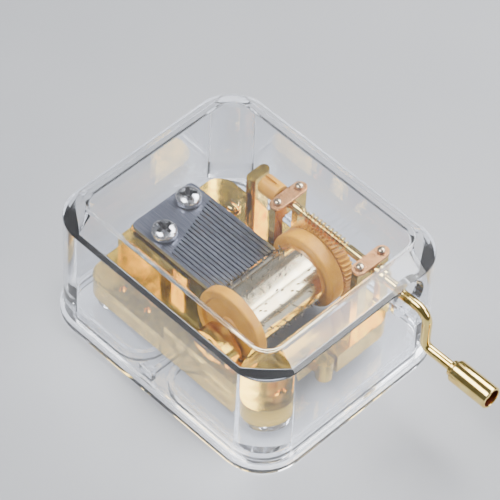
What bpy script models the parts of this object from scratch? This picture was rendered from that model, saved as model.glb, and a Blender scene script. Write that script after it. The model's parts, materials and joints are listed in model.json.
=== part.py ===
"""Hand crank music box: a clear case with an 18-note comb movement inside.

Frame: the origin is the centre of the case's resting face, +X runs along the
crank shaft towards the crank, +Y along the pinned cylinder and +Z is up.
Every size below is in millimetres; meshes are scaled to metres at the end.
"""
import math

import bmesh
import bpy
from mathutils import Matrix, Vector

MM = 0.001

# Clearances
REST_GAP = 0.3            # between pieces that rest on or fasten to each other
RUN_GAP = 0.2             # radial, around turning shafts and thin shanks
SINK = 0.6                # how deep a joined feature reaches into its parent

# Case
CASE_LENGTH = 62.0
CASE_WIDTH = 52.0
CASE_HEIGHT = 32.8
CASE_CORNER_R = 8.8
CASE_WALL = 2.0
CASE_DRAFT = 0.36         # how far the walls lean in over their height
CASE_CHAMFER = 3.85       # drop of the 45 degree facets round the top
CASE_EDGE_R = 1.7         # between a wall and its facet
FLANGE = 0.7              # how far the tray's flange stands out past the lid
FLOOR = 2.0
RIM_THICKNESS = 1.2
RIM_HEIGHT = 2.4
RIM_CORNER_R = CASE_CORNER_R - CASE_WALL - REST_GAP
LATCH_SPACE = 4.0         # gap between the tray's two rims, where the latches sit
LATCH_X = -2.2
LATCH_WIDTH = 2.6
LATCH_HEIGHT = 3.4
LATCH_NIB = 0.5
RIB_WIDTH = 1.0
RIB_HEIGHT = 1.2
CRANK_HOLE_R = 4.2

# Bedplate casting
BED_X0 = -25.5
BED_X1 = 22.6
BED_Y0 = -18.9
BED_Y1 = 17.6
BED_Z = 5.0
BED_THICKNESS = 5.0
BED_CORNER_R = 4.0
FOOT_R = 3.0
SCREW_R = 1.0             # mounting screw shank
SCREW_HEAD_R = 1.9
SCREW_HEAD_HEIGHT = 1.1
SCREW_DEPTH = 3.0         # how far a mounting screw reaches into the bedplate
WELL_MARGIN = 0.4         # beside the cylinder's end discs, at the sides of the well
SKIRT_TOP = 14.0
DIMPLE_R = 0.75

# Pinned cylinder
CYL_X = 7.4
CYL_Y0 = -9.8
CYL_LENGTH = 17.7
DRUM_R = 6.5
DRUM_WALL = 0.7
PIN_R = 0.17
PIN_HEIGHT = 0.55
PINS_A_TOOTH = 4
SEAM_WIDTH = 0.2
SEAM_DEPTH = 0.3
SEAM_ANGLE = 118
DISC_R = 8.4
DISC_THICKNESS = 2.3
DISC_DISH = 0.5           # how deep the disc's face is dished
DISC_HUB_R = 2.0
DISC_RIM_R = 6.4
SPIGOT_LENGTH = 1.4
AXLE_R = 0.9
JOURNAL_R = 0.5           # the axle's thin ends
BEARING_R = 5.0
BEARING_COVER = 0.75      # casting over the front journal's hole
FRONT_BEARING = 3.6       # thickness along the axle
BACK_BEARING = 2.0
END_PLAY = 0.35           # along the axle, between turning and fixed faces

# Worm gear
WHEEL_TEETH = 49
WORM_PITCH = 1.05         # one start, so this is also the lead
WORM_TIP_R = 1.3
WORM_TURNS = 10
ADDENDUM = 0.28
DEDENDUM = 0.36
TOOTH_AT_PITCH = 0.34
TOOTH_SLOPE = 0.2         # flank run-out per unit of depth
WHEEL_FLANGE = 3.1
WHEEL_FACE = 2.6

# Crank shaft
SHAFT_Y = 13.1
SHAFT_Z = 24.5
SHAFT_R = 1.0
PEDESTAL_X_OUTER = 20.3
PEDESTAL_THICKNESS = 1.6
PEDESTAL_WIDTH = 8.8
PEDESTAL_BAR = 1.3        # metal left under the shaft
PEDESTAL_LEG = 2.3
CLIP_WIDTH = 3.0
CLIP_LENGTH = 9.4
CLIP_THICKNESS = 0.6
RIVET_SPACING = 6.0
RIVET_R = 0.4
RIVET_HEAD_R = 0.85
RIVET_HEAD = 0.6
END_BUSH_R = 2.1
END_BUSH_LENGTH = 4.6
END_BUSH_SLOT = 0.6
COLLAR_WALL = 0.5
COLLAR_LENGTH = 1.9
TANG_R = 0.4
TANG_LENGTH = 2.6

# Crank and knob
ROD_R = 1.05
ARM_STANDOFF = 4.9        # from the case's wall to the arm's centre line
THROW = 9.7
UPPER_BEND_R = 3.0
LOWER_BEND_R = 1.7
KNOB_REACH = 7.3          # from the arm to the knob's near end
KNOB_LENGTH = 10.4
KNOB_R = 2.45
KNOB_NECK_R = 1.75
KNOB_NECK = 0.9
KNOB_CHAMFER = 0.5
KNOB_CUP_R = 1.95
KNOB_CUP_DEPTH = 1.6
KNOB_HEAD_R = 1.35
KNOB_HEAD = 0.7

# Comb
COMB_TEETH = 18
COMB_PITCH = 0.92
COMB_SLIT = 0.3
COMB_MARGIN = 0.05
COMB_THICKNESS = 1.0
COMB_CORNER_R = 1.3
COMB_LENGTH = 24.0
COMB_RISE = 0.55          # comb's underside above the cylinder's axis
SHORT_TOOTH = 13.0
LONG_TOOTH = 18.0
TIP_CLEARANCE = 0.15
TIP_THICKNESS = 0.6
TAPER_LENGTH = 2.2
WEIGHTED_TEETH = 7
WEIGHT_LENGTH = 4.2
WEIGHT_DEPTH = 1.4
COMB_SCREW_SHANK_R = 1.2
COMB_SCREW_HEAD_R = 2.65
COMB_SCREW_HEAD = 2.1
COMB_SCREW_SIDE = 0.9     # straight part of the head's height
CROSS_R = 1.75
CROSS_WIDTH = 0.6
COMB_SCREW_DEPTH = 3.4
COMB_BLOCK_BEHIND = 0.5   # how far the seat stands out behind the comb

# Stop post, locating pin and boss screw
STOP_X = -11.8
STOP_Y = 14.3
STOP_THICKNESS = 2.3
STOP_WIDTH = 5.6
STOP_TOP = 24.0
PIN_STUB = (-10.0, 9.6, 0.7)      # x, y, radius
PIN_STUB_HEIGHT = 1.8
BOSS_SCREW = (-17.0, 12.8, 0.9)

# Derived places
DECK_Z = BED_Z + BED_THICKNESS
WHEEL_PITCH_R = WHEEL_TEETH * WORM_PITCH / (2 * math.pi)
WHEEL_TIP_R = WHEEL_PITCH_R + ADDENDUM
WHEEL_ROOT_R = WHEEL_PITCH_R - DEDENDUM
TIP_TO_ROOT = 0.11
WORM_ROOT_R = WORM_TIP_R - ADDENDUM - DEDENDUM
CYL_Z = SHAFT_Z - WHEEL_ROOT_R - WORM_TIP_R - TIP_TO_ROOT
CYL_Y1 = CYL_Y0 + CYL_LENGTH
WORM_X = CYL_X + WORM_PITCH / 2
WHEEL_Y0 = CYL_Y1 + RUN_GAP
WHEEL_Y1 = SHAFT_Y + WHEEL_FACE / 2
DISC_Y0 = CYL_Y0 - RUN_GAP - DISC_THICKNESS
COMB_Z = CYL_Z + COMB_RISE
COMB_WIDTH = COMB_TEETH * COMB_PITCH + 2 * COMB_MARGIN
COMB_Y0 = CYL_Y0 + (CYL_LENGTH - COMB_WIDTH) / 2
PIN_TIP_R = DRUM_R + PIN_HEIGHT
TIP_DROP = COMB_THICKNESS - TIP_THICKNESS / 2 + COMB_RISE
COMB_X1 = CYL_X - math.sqrt(PIN_TIP_R ** 2 - TIP_DROP ** 2) - TIP_CLEARANCE
COMB_X0 = COMB_X1 - COMB_LENGTH
CLIP_Z = SHAFT_Z + SHAFT_R + RUN_GAP
PEDESTAL_TOP = CLIP_Z - REST_GAP
PEDESTAL_X_INNER = CYL_X - max(DISC_R, WHEEL_TIP_R) - REST_GAP - PEDESTAL_THICKNESS / 2
ARM_X = CASE_LENGTH / 2 + ARM_STANDOFF
KNOB_X = ARM_X + KNOB_REACH
HANDLE_Z = SHAFT_Z - THROW
LID_Z = FLOOR + REST_GAP
SHAFT_X1 = PEDESTAL_X_OUTER + CLIP_WIDTH / 2 + 1.0
END_BUSH_X = PEDESTAL_X_INNER - PEDESTAL_THICKNESS / 2 - 1.3 - END_BUSH_LENGTH
FOOT_PLACES = (
    (BED_X0 + BED_CORNER_R, BED_Y0 + BED_CORNER_R),
    (BED_X0 + BED_CORNER_R, BED_Y1 - BED_CORNER_R),
    (BED_X1 - BED_CORNER_R, BED_Y0 + BED_CORNER_R),
)
COMB_SCREW_PLACES = (
    (COMB_X0 + 3.3, COMB_Y0 + COMB_WIDTH - 3.9),
    (COMB_X0 + 6.4, COMB_Y0 + 3.2),
)

COLOURS = {
    "clear": ((0.86, 0.88, 0.94), 0.04, 0.0),
    "gilt": ((0.86, 0.66, 0.30), 0.18, 1.0),
    "brass": ((0.90, 0.72, 0.34), 0.15, 1.0),
    "comb_steel": ((0.22, 0.23, 0.28), 0.35, 1.0),
    "bright_steel": ((0.80, 0.80, 0.82), 0.2, 1.0),
    "drum": ((0.88, 0.80, 0.62), 0.22, 1.0),
    "amber": ((0.80, 0.47, 0.12), 0.4, 0.0),
    "copper": ((0.80, 0.52, 0.38), 0.3, 1.0),
}


# ---------------------------------------------------------------- helpers

def clear_scene():
    for obj in list(bpy.data.objects):
        bpy.data.objects.remove(obj, do_unlink=True)


def material(node, look):
    """A Principled material of the named look, one for each sub-part."""
    colour, roughness, metallic = COLOURS[look]
    mat = bpy.data.materials.new(node)
    mat.use_nodes = True
    shader = mat.node_tree.nodes["Principled BSDF"]
    shader.inputs["Base Color"].default_value = (*colour, 1.0)
    shader.inputs["Roughness"].default_value = roughness
    shader.inputs["Metallic"].default_value = metallic
    mat.diffuse_color = (*colour, 1.0)
    return mat


def pivot(name, location):
    """An empty on a joint's axis, which carries that joint's pieces."""
    empty = bpy.data.objects.new(name, None)
    empty.location = Vector(location) * MM
    empty.empty_display_size = 0.004
    bpy.context.scene.collection.objects.link(empty)
    return empty


def place(name, bm, look=None, parent=None, bevel=0.0):
    """Turn a millimetre bmesh into an object; without a look it is a helper."""
    bmesh.ops.recalc_face_normals(bm, faces=bm.faces)
    bmesh.ops.scale(bm, vec=(MM, MM, MM), verts=bm.verts)
    mesh = bpy.data.meshes.new(name)
    bm.to_mesh(mesh)
    bm.free()
    obj = bpy.data.objects.new(name, mesh)
    bpy.context.scene.collection.objects.link(obj)
    if look is None:
        obj.hide_render = True
        obj.display_type = "WIRE"
        return obj
    mesh.materials.append(material(name, look))
    mesh.shade_smooth()
    mesh.set_sharp_from_angle(angle=math.radians(35))
    if parent is not None:
        obj.parent = parent
        obj.matrix_parent_inverse = Matrix.Translation(-parent.location)
    if bevel:
        edge = obj.modifiers.new("edge", "BEVEL")
        edge.width = bevel * MM
        edge.segments = 1
        edge.limit_method = "ANGLE"
        edge.angle_limit = math.radians(50)
    return obj


def combine(obj, helper, operation):
    step = obj.modifiers.new(helper.name, "BOOLEAN")
    step.operation = operation
    step.solver = "EXACT"
    step.object = helper


def join(obj, name, bm):
    combine(obj, place(name, bm), "UNION")


def cut(obj, name, bm):
    combine(obj, place(name, bm), "DIFFERENCE")


def arc(cx, cy, radius, start, end, steps):
    """Points along an arc; angles in degrees."""
    points = []
    for i in range(steps + 1):
        angle = math.radians(start + (end - start) * i / steps)
        points.append((cx + radius * math.cos(angle), cy + radius * math.sin(angle)))
    return points


def circle(cx, cy, radius, steps=24):
    return arc(cx, cy, radius, 0, 360, steps)[:-1]


def rounded_rect(x0, x1, y0, y1, radius, steps=6):
    points = []
    points += arc(x1 - radius, y1 - radius, radius, 0, 90, steps)
    points += arc(x0 + radius, y1 - radius, radius, 90, 180, steps)
    points += arc(x0 + radius, y0 + radius, radius, 180, 270, steps)
    points += arc(x1 - radius, y0 + radius, radius, 270, 360, steps)
    return points


def rectangle(x0, x1, y0, y1):
    return [(x0, y0), (x1, y0), (x1, y1), (x0, y1)]


def obround(cx, cy, width, length, steps=8):
    """A slot shape, length along the second axis."""
    half = (length - width) / 2
    points = arc(cx, cy + half, width / 2, 0, 180, steps)
    return points + arc(cx, cy - half, width / 2, 180, 360, steps)


def on_z(u, v, w):
    return (u, v, w)


def on_x(u, v, w):
    """Outlines in the YZ plane, stacked along X."""
    return (w, u, v)


def on_y(u, v, w):
    """Outlines in the XZ plane, stacked along Y."""
    return (u, w, v)


def add_loft(bm, rings, closed=False):
    """Skin rings of equally many points; ends are capped unless closed."""
    rows = [[bm.verts.new(point) for point in ring] for ring in rings]
    count = len(rows[0])
    pairs = list(zip(rows, rows[1:]))
    if closed:
        pairs.append((rows[-1], rows[0]))
    for lower, upper in pairs:
        for i in range(count):
            k = (i + 1) % count
            bm.faces.new((lower[i], lower[k], upper[k], upper[i]))
    if not closed:
        bm.faces.new(rows[0][::-1])
        bm.faces.new(rows[-1])


def loft(rings, closed=False):
    bm = bmesh.new()
    add_loft(bm, rings, closed)
    return bm


def add_prism(bm, outline, low, high, axes=on_z):
    add_loft(bm, [[axes(u, v, w) for u, v in outline] for w in (low, high)])


def prism(outline, low, high, axes=on_z):
    bm = bmesh.new()
    add_prism(bm, outline, low, high, axes)
    return bm


def turned(profile, centre, axes, steps=24, closed=False):
    """Revolve (radius, along) pairs about an axis through centre.

    An open profile is a solid whose two ends are flat discs; a closed one is
    a ring or a tube.
    """
    u0, v0 = centre
    rings = []
    for radius, along in profile:
        rings.append([axes(u, v, along) for u, v in circle(u0, v0, radius, steps)])
    return loft(rings, closed)


# ---------------------------------------------------------------- case

def case_ring(inset, z):
    """The lid's outline, moved inwards by an inset, at a height."""
    half_x = CASE_LENGTH / 2 - inset
    half_y = CASE_WIDTH / 2 - inset
    corner = max(CASE_CORNER_R - inset, 0.3)
    outline = rounded_rect(-half_x, half_x, -half_y, half_y, corner, 8)
    return [(x, y, z) for x, y in outline]


def shell_profiles():
    """Outer and inner (inset, height) lines up a wall, over its facet to the flat top."""
    turn = math.radians(45)
    shoulder_z = CASE_HEIGHT - CASE_CHAMFER - CASE_EDGE_R * math.sin(turn)
    outer = [(0.0, LID_Z)]
    steps = 3
    for i in range(steps + 1):
        angle = turn * i / steps
        outer.append((CASE_DRAFT + CASE_EDGE_R * (1 - math.cos(angle)),
                      shoulder_z + CASE_EDGE_R * math.sin(angle)))
    facet_u, facet_z = outer[-1]
    outer.append((facet_u + CASE_CHAMFER, CASE_HEIGHT))
    offset = facet_u - facet_z + CASE_WALL * math.sqrt(2)
    wall_u = CASE_DRAFT + CASE_WALL
    ceiling = CASE_HEIGHT - CASE_WALL
    inner = [(CASE_WALL, LID_Z), (wall_u, wall_u - offset), (ceiling + offset, ceiling)]
    return outer, inner


def make_lid():
    outer, inner = shell_profiles()
    rings = [case_ring(inset, z) for inset, z in inner[::-1] + outer]
    lid = place("lid", loft(rings), "clear")
    wall_x = CASE_LENGTH / 2
    hole = circle(SHAFT_Y, SHAFT_Z, CRANK_HOLE_R, 32)
    cut(lid, "cut_crank_hole", prism(hole, wall_x - CASE_WALL - 0.6, wall_x + 2, on_x))
    for side in (-1, 1):
        inner_y = side * (CASE_WIDTH / 2 - CASE_WALL)
        pocket = rectangle(
            LATCH_X - LATCH_WIDTH / 2 - REST_GAP, LATCH_X + LATCH_WIDTH / 2 + REST_GAP,
            inner_y - side * 2.0, inner_y + side * (LATCH_NIB + 0.3))
        latch_top = FLOOR + LATCH_HEIGHT
        cut(lid, "cut_latch_pocket", prism(pocket, latch_top - 1.6, latch_top + REST_GAP))


def rim_outline(x0, x1, shrink):
    half_y = CASE_WIDTH / 2 - CASE_WALL - REST_GAP - shrink
    return rounded_rect(x0 + shrink, x1 - shrink, -half_y, half_y, RIM_CORNER_R - shrink, 5)


def make_rim(tray, name, x0, x1):
    """One of the two low walls that centre the lid."""
    outer = rim_outline(x0, x1, 0.0)
    inner = rim_outline(x0, x1, RIM_THICKNESS)
    low = FLOOR - SINK
    high = FLOOR + RIM_HEIGHT
    rings = []
    for outline, z in ((outer, low), (outer, high), (inner, high), (inner, low)):
        rings.append([(x, y, z) for x, y in outline])
    join(tray, name, loft(rings, closed=True))


def make_latch(tray, side):
    """A snap latch with a nib that catches in the lid's pocket."""
    face = side * (CASE_WIDTH / 2 - CASE_WALL - REST_GAP)
    back = face - side * RIM_THICKNESS
    top = FLOOR + LATCH_HEIGHT
    profile = [
        (back, FLOOR - SINK), (face, FLOOR - SINK), (face, top - 1.2),
        (face + side * LATCH_NIB, top - 0.8), (face, top), (back, top),
    ]
    x0 = LATCH_X - LATCH_WIDTH / 2
    join(tray, "latch", prism(profile, x0, x0 + LATCH_WIDTH, on_x))


def make_tray():
    half_x = CASE_LENGTH / 2 + FLANGE
    half_y = CASE_WIDTH / 2 + FLANGE
    corner = CASE_CORNER_R + FLANGE
    soften = 0.4
    rings = []
    for inset, z in ((soften, 0.0), (0.0, soften), (0.0, FLOOR - soften), (soften, FLOOR)):
        outline = rounded_rect(-half_x + inset, half_x - inset, -half_y + inset,
                               half_y - inset, corner - inset, 8)
        rings.append([(x, y, z) for x, y in outline])
    tray = place("base_tray", loft(rings), "clear")
    rim_x = CASE_LENGTH / 2 - CASE_WALL - REST_GAP
    make_rim(tray, "rim_left", -rim_x, LATCH_X - LATCH_SPACE / 2)
    make_rim(tray, "rim_right", LATCH_X + LATCH_SPACE / 2, rim_x)
    rib_y = CASE_WIDTH / 2 - CASE_WALL - REST_GAP - RIM_THICKNESS / 2
    rib = rectangle(LATCH_X - RIB_WIDTH / 2, LATCH_X + RIB_WIDTH / 2, -rib_y, rib_y)
    join(tray, "cross_rib", prism(rib, FLOOR - SINK, FLOOR + RIB_HEIGHT))
    for side in (-1, 1):
        make_latch(tray, side)
    for x, y in FOOT_PLACES:
        boss = circle(x, y, FOOT_R)
        join(tray, "standoff", prism(boss, FLOOR - SINK, BED_Z - REST_GAP))
    for x, y in FOOT_PLACES:
        bore = circle(x, y, SCREW_R + REST_GAP)
        cut(tray, "cut_screw_bore", prism(bore, -1.0, BED_Z + 1.0))
        seat = circle(x, y, SCREW_HEAD_R + REST_GAP)
        cut(tray, "cut_screw_seat", prism(seat, -1.0, SCREW_HEAD_HEIGHT + REST_GAP))


# ---------------------------------------------------------------- bedplate

def pedestal_outline():
    """The forked bearing post, open at the top for the shaft."""
    half = PEDESTAL_WIDTH / 2
    slot = SHAFT_R + RUN_GAP
    foot = DECK_Z - SINK
    fork = arc(SHAFT_Y, SHAFT_Z, slot, 360, 180, 10)
    points = [(SHAFT_Y - half, foot), (SHAFT_Y + half, foot),
              (SHAFT_Y + half, PEDESTAL_TOP), (SHAFT_Y + slot, PEDESTAL_TOP)]
    return points + fork + [(SHAFT_Y - slot, PEDESTAL_TOP), (SHAFT_Y - half, PEDESTAL_TOP)]


def add_bearing(bed, name, y0, thickness):
    """An arched block whose crown just covers the axle's journal."""
    foot = DECK_Z - SINK
    crown = CYL_Z + JOURNAL_R + RUN_GAP + BEARING_COVER
    arch = arc(CYL_X, crown - BEARING_R, BEARING_R, 0, 180, 20)
    outline = [(CYL_X - BEARING_R, foot), (CYL_X + BEARING_R, foot)] + arch
    join(bed, name, prism(outline, y0, y0 + thickness, on_y))


def comb_block_outline():
    """Seat under the comb's root, with a flank that narrows to a nose."""
    back = COMB_X0 - COMB_BLOCK_BEHIND
    y0 = COMB_Y0 + 0.6
    y1 = COMB_Y0 + COMB_WIDTH - 0.4
    root_front = COMB_X1 - SHORT_TOOTH - 0.8
    root_back = COMB_X1 - LONG_TOOTH - 0.8
    return [(back, y0), (root_front, y0), (root_back, y1), (back, y1)]


def flank_outline():
    back = COMB_X0 - COMB_BLOCK_BEHIND
    y1 = COMB_Y0 + 1.0
    wide = y1 - 3.4
    narrow = y1 - 1.6
    nose = COMB_X1 - 7.6
    points = [(back, wide), (nose - 4.6, wide), (nose - 3.4, narrow), (nose, narrow)]
    return points + arc(nose, narrow + 0.6, 0.6, -60, 90, 5) + [(nose - 3.4, y1), (back, y1)]


def well_outline():
    """The opening that the cylinder and its end discs turn in."""
    reach = DISC_R - WELL_MARGIN
    y0, y1 = bearing_faces()
    return rounded_rect(CYL_X - reach, CYL_X + reach, y0 - 0.1, y1 + 0.1, 2.0, 4)


def make_bedplate():
    outline = rounded_rect(BED_X0, BED_X1, BED_Y0, BED_Y1, BED_CORNER_R, 6)
    bed = place("bedplate", prism(outline, BED_Z, DECK_Z), "gilt")
    cut(bed, "cut_well", prism(well_outline(), BED_Z - 1, DECK_Z + 1))
    notch = rounded_rect(BED_X1 - 3.6, BED_X1 + 4, BED_Y0 + 8.4, 1.6, 1.4, 4)
    cut(bed, "cut_side_notch", prism(notch, BED_Z - 1, DECK_Z + 1))
    hollow = rounded_rect(BED_X0 + 8.2, CYL_X - DISC_R - 2.2, BED_Y0 + 4, BED_Y1 - 4, 2.0, 4)
    cut(bed, "cut_hollow", prism(hollow, BED_Z - 1, DECK_Z - 1.6))

    seat_top = COMB_Z - REST_GAP
    join(bed, "comb_block", prism(comb_block_outline(), DECK_Z - SINK, seat_top))
    join(bed, "comb_flank", prism(flank_outline(), DECK_Z - SINK * 0.9, seat_top - 0.5))

    skirt = rounded_rect(CYL_X - 10.4, BED_X1 - 5.6, BED_Y0, BED_Y0 + 1.8, 0.6, 3)
    join(bed, "front_skirt", prism(skirt, BED_Z + 0.5, SKIRT_TOP))
    front, back = bearing_faces()
    add_bearing(bed, "front_bearing", front - FRONT_BEARING, FRONT_BEARING)
    add_bearing(bed, "back_bearing", back, BACK_BEARING)
    for x in (PEDESTAL_X_INNER, PEDESTAL_X_OUTER):
        low = x - PEDESTAL_THICKNESS / 2
        join(bed, "pedestal", prism(pedestal_outline(), low, low + PEDESTAL_THICKNESS, on_x))
        half = PEDESTAL_WIDTH / 2 - PEDESTAL_LEG
        bar = SHAFT_Z - SHAFT_R - RUN_GAP - PEDESTAL_BAR
        window = rounded_rect(SHAFT_Y - half, SHAFT_Y + half, DECK_Z + PEDESTAL_LEG, bar, 0.8, 4)
        cut(bed, "cut_window", prism(window, low - 1, low + PEDESTAL_THICKNESS + 1, on_x))
    stop = obround(STOP_X, STOP_Y, STOP_THICKNESS, STOP_WIDTH)
    join(bed, "stop_post", prism(stop, DECK_Z - SINK, STOP_TOP))
    post = circle(BED_X1 - 1.1, -0.9, 1.8, 20)
    join(bed, "side_post", prism(post, BED_Z + 0.2, DECK_Z + 0.3))
    web = rectangle(BED_X1 - 4.6, BED_X1 - 2.0, -1.8, 0.2)
    join(bed, "side_web", prism(web, BED_Z + 0.4, DECK_Z - 1.4))

    axle_hole = circle(CYL_X, CYL_Z, JOURNAL_R + RUN_GAP, 16)
    cut(bed, "cut_axle", prism(axle_hole, BED_Y0 - 2, BED_Y1 + 2, on_y))
    for x, y in COMB_SCREW_PLACES:
        bore = circle(x, y, COMB_SCREW_SHANK_R + RUN_GAP)
        low = COMB_Z - COMB_SCREW_DEPTH - REST_GAP
        cut(bed, "cut_comb_screw", prism(bore, low, seat_top + 1))
    for x, y in FOOT_PLACES:
        bore = circle(x, y, SCREW_R + REST_GAP)
        cut(bed, "cut_foot_screw", prism(bore, BED_Z - 1, BED_Z + SCREW_DEPTH + REST_GAP))
    for x in (PEDESTAL_X_INNER, PEDESTAL_X_OUTER):
        for side in (-1, 1):
            y = SHAFT_Y + side * RIVET_SPACING / 2
            bore = circle(x, y, RIVET_R + RUN_GAP, 16)
            cut(bed, "cut_rivet", prism(bore, PEDESTAL_TOP - 2.2, PEDESTAL_TOP + 1))
    dimples = [(BED_X0 + along, BED_Y0 + 2.6) for along in (8.4, 15.6)]
    for x, y in (*dimples, FOOT_PLACES[2]):
        dimple = circle(x, y, DIMPLE_R, 16)
        cut(bed, "cut_dimple", prism(dimple, DECK_Z - 0.8, DECK_Z + 1))
    for x, y, radius in (PIN_STUB, BOSS_SCREW):
        bore = circle(x, y, radius + RUN_GAP, 16)
        cut(bed, "cut_stub", prism(bore, DECK_Z - 1.2, DECK_Z + 1))


def make_deck_stubs():
    x, y, radius = PIN_STUB
    low = DECK_Z - 1.2 + REST_GAP
    top = DECK_Z + PIN_STUB_HEIGHT
    profile = [(radius, low), (radius, top - 0.3), (radius - 0.3, top)]
    place("locating_pin", turned(profile, (x, y), on_z, 16), "bright_steel")
    x, y, radius = BOSS_SCREW
    head = radius + 0.7
    seat = DECK_Z + REST_GAP
    profile = [(radius, low), (radius, seat), (head, seat), (head, seat + 0.7),
               (head - 0.4, seat + 1.0)]
    screw = place("boss_screw", turned(profile, (x, y), on_z, 20), "brass")
    slot = rectangle(x - head - 1, x + head + 1, y - 0.2, y + 0.2)
    cut(screw, "cut_boss_slot", prism(slot, seat + 0.5, seat + 2))


# ---------------------------------------------------------------- comb

def comb_outline():
    """Root plate and teeth; teeth grow longer towards +Y."""
    radius = COMB_CORNER_R
    y1 = COMB_Y0 + COMB_WIDTH
    points = arc(COMB_X0 + radius, y1 - radius, radius, 90, 180, 6)
    points += arc(COMB_X0 + radius, COMB_Y0 + radius, radius, 180, 270, 6)
    points.append((COMB_X1, COMB_Y0))
    for i in range(COMB_TEETH):
        y = COMB_Y0 + COMB_MARGIN + (i + 1) * COMB_PITCH
        root = COMB_X1 - tooth_length(i + 0.5)
        if i < COMB_TEETH - 1:
            points += [(COMB_X1, y - COMB_SLIT / 2), (root, y - COMB_SLIT / 2),
                       (root, y + COMB_SLIT / 2), (COMB_X1, y + COMB_SLIT / 2)]
    return points + [(COMB_X1, y1)]


def tooth_length(index):
    return SHORT_TOOTH + (LONG_TOOTH - SHORT_TOOTH) * index / (COMB_TEETH - 1)


def make_comb():
    comb = place("comb", prism(comb_outline(), COMB_Z, COMB_Z + COMB_THICKNESS), "comb_steel")
    for i in range(COMB_TEETH - WEIGHTED_TEETH, COMB_TEETH):
        y = COMB_Y0 + COMB_MARGIN + (i + 0.5) * COMB_PITCH
        half = (COMB_PITCH - COMB_SLIT) / 2 - 0.06
        x1 = COMB_X1 - TAPER_LENGTH - 0.6
        length = WEIGHT_LENGTH * (0.6 + 0.4 * (i + 1) / COMB_TEETH)
        weight = rectangle(x1 - length, x1, y - half, y + half)
        join(comb, "weight", prism(weight, COMB_Z - WEIGHT_DEPTH, COMB_Z + 0.3))
    reach = COMB_Y0 - 1, COMB_Y0 + COMB_WIDTH + 1
    wedge = [(COMB_X1 - TAPER_LENGTH, COMB_Z - 0.5), (COMB_X1 - TAPER_LENGTH, COMB_Z),
             (COMB_X1 - 0.4, COMB_Z + COMB_THICKNESS - TIP_THICKNESS),
             (COMB_X1 + 1, COMB_Z + COMB_THICKNESS - TIP_THICKNESS),
             (COMB_X1 + 1, COMB_Z - 0.5)]
    cut(comb, "cut_tip_taper", prism(wedge, *reach, on_y))
    for x, y in COMB_SCREW_PLACES:
        bore = circle(x, y, COMB_SCREW_SHANK_R + REST_GAP)
        cut(comb, "cut_comb_bore", prism(bore, COMB_Z - 2, COMB_Z + 3))


def make_comb_screw(name, x, y, turn):
    seat = COMB_Z + COMB_THICKNESS + REST_GAP
    low = COMB_Z - COMB_SCREW_DEPTH
    dome = []
    rise = COMB_SCREW_HEAD - COMB_SCREW_SIDE
    for i in range(6):
        angle = math.radians(16 * i)
        dome.append((COMB_SCREW_HEAD_R * math.cos(angle),
                     seat + COMB_SCREW_SIDE + rise * math.sin(angle)))
    profile = [(COMB_SCREW_SHANK_R, low), (COMB_SCREW_SHANK_R, seat),
               (COMB_SCREW_HEAD_R, seat)] + dome
    screw = place(name, turned(profile, (x, y), on_z, 28), "bright_steel")
    for k in range(2):
        angle = math.radians(turn + 90 * k)
        along = Vector((math.cos(angle), math.sin(angle)))
        across = Vector((-along.y, along.x))
        half = CROSS_WIDTH / 2
        corners = [(CROSS_R, half), (-CROSS_R, half), (-CROSS_R, -half), (CROSS_R, -half)]
        outline = [Vector((x, y)) + along * u + across * v for u, v in corners]
        floor = seat + 0.8 + 0.01 * k
        cut(screw, "cut_cross", prism(outline, floor, seat + COMB_SCREW_HEAD + 1))


# ---------------------------------------------------------------- cylinder

def make_drum(carrier):
    outer = circle(CYL_X, CYL_Z, DRUM_R, 48)
    inner = circle(CYL_X, CYL_Z, DRUM_R - DRUM_WALL, 48)
    rings = []
    for outline, y in ((outer, CYL_Y0), (outer, CYL_Y1), (inner, CYL_Y1), (inner, CYL_Y0)):
        rings.append([on_y(u, v, y) for u, v in outline])
    drum = place("cylinder_drum", loft(rings, closed=True), "drum", carrier)
    pins = bmesh.new()
    for i in range(COMB_TEETH):
        y = COMB_Y0 + COMB_MARGIN + (i + 0.5) * COMB_PITCH
        beat = 360 / PINS_A_TOOTH
        for k in range(PINS_A_TOOTH):
            turn = beat * k + (i * i * 53 + k * 29 + i * 17) % (beat - 8) + 4
            add_pin(pins, y, math.radians(SEAM_ANGLE + turn))
    join(drum, "pins", pins)
    seam = bmesh.new()
    angle = math.radians(SEAM_ANGLE)
    out = Vector((math.cos(angle), math.sin(angle)))
    side = Vector((-out.y, out.x)) * SEAM_WIDTH / 2
    centre = Vector((CYL_X, CYL_Z))
    low, high = out * (DRUM_R - SEAM_DEPTH), out * (DRUM_R + 1)
    outline = [centre + low - side, centre + high - side,
               centre + high + side, centre + low + side]
    add_prism(seam, outline, CYL_Y0 - 1, CYL_Y1 + 1, on_y)
    cut(drum, "cut_seam", seam)


def add_pin(bm, y, angle):
    """A radial pin, sunk into the drum's wall."""
    out = Vector((math.cos(angle), 0.0, math.sin(angle)))
    side = Vector((-out.z, 0.0, out.x))
    centre = Vector((CYL_X, y, CYL_Z))
    rings = []
    for radius in (DRUM_R - DRUM_WALL / 2, PIN_TIP_R):
        ring = []
        for u, v in circle(0.0, 0.0, PIN_R, 6):
            ring.append(centre + out * radius + side * u + Vector((0.0, v, 0.0)))
        rings.append(ring)
    add_loft(bm, rings)


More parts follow.
